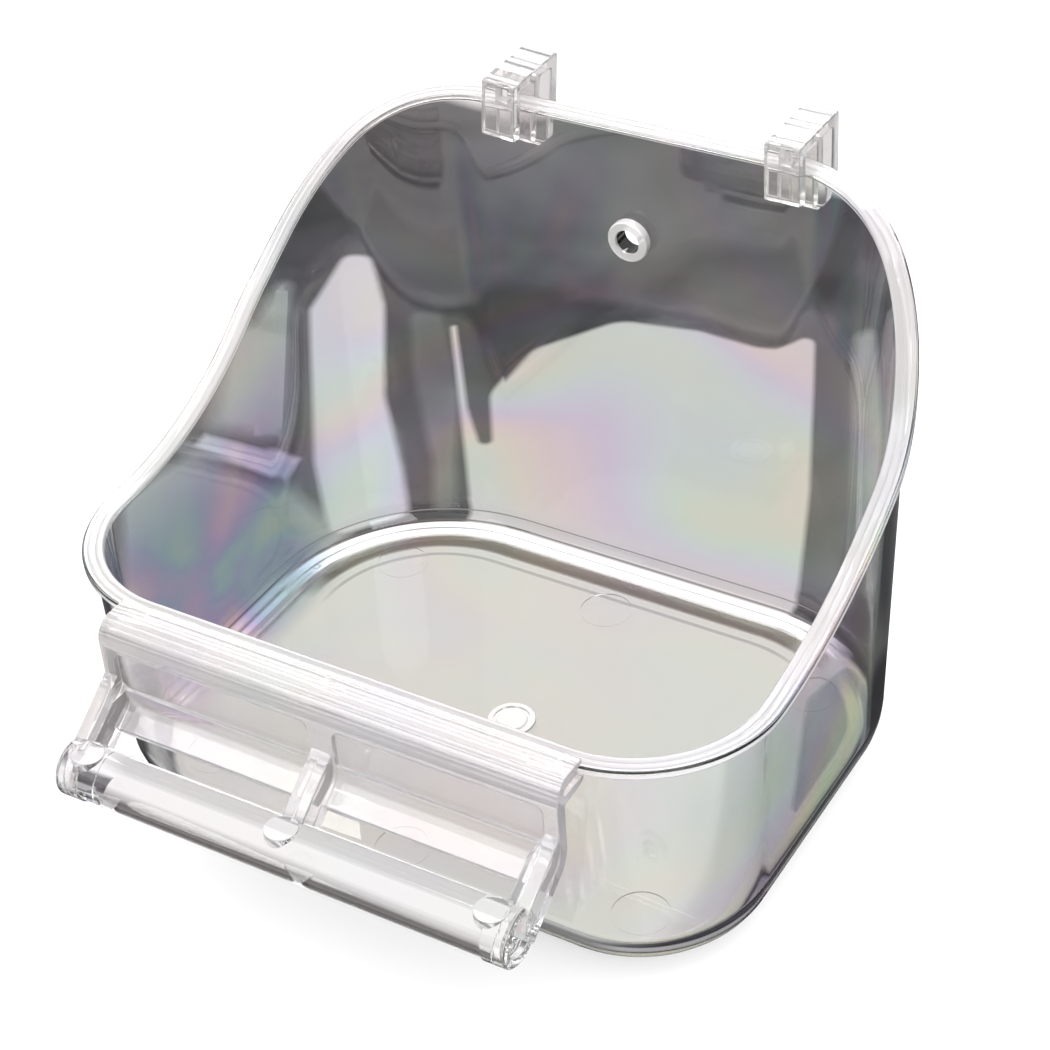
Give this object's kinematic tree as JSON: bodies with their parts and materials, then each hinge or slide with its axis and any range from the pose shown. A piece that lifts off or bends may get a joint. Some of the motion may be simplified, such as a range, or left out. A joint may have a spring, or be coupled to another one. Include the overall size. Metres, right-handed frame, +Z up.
{
  "type": "cage bird bath",
  "caption": "Clear moulded bird bath with a low front, a high back and swept sides, a perch bracket over the front rim, and hooks on the back rim that hang it on a cage wire.",
  "frame": {"origin": "on the underside of the tub's floor, at the moulding gate in the middle of the floor", "axes": "+X to the right seen from the front, +Y to the back, towards the cage, +Z up"},
  "size_m": [0.1326, 0.1363, 0.1038],
  "materials": {
    "clear_plastic": "gloss"
  },
  "bodies": {
    "tub": {"tub": "clear_plastic"},
    "perch_bracket": {"perch_bracket": "clear_plastic"},
    "hook_left": {"hook_left": "clear_plastic"},
    "hook_right": {"hook_right": "clear_plastic"}
  },
  "joints": [
    {"name": "bracket_pull", "type": "slide", "parent": "tub", "child": "perch_bracket", "axis": [0, -1, 0], "range_m": [0, 0.03]},
    {"name": "hook_left_lift", "type": "slide", "parent": "tub", "child": "hook_left", "axis": [0, 0, 1], "range_m": [0, 0.03]},
    {"name": "hook_right_lift", "type": "slide", "parent": "tub", "child": "hook_right", "axis": [0, 0, 1], "range_m": [0, 0.03]}
  ]
}
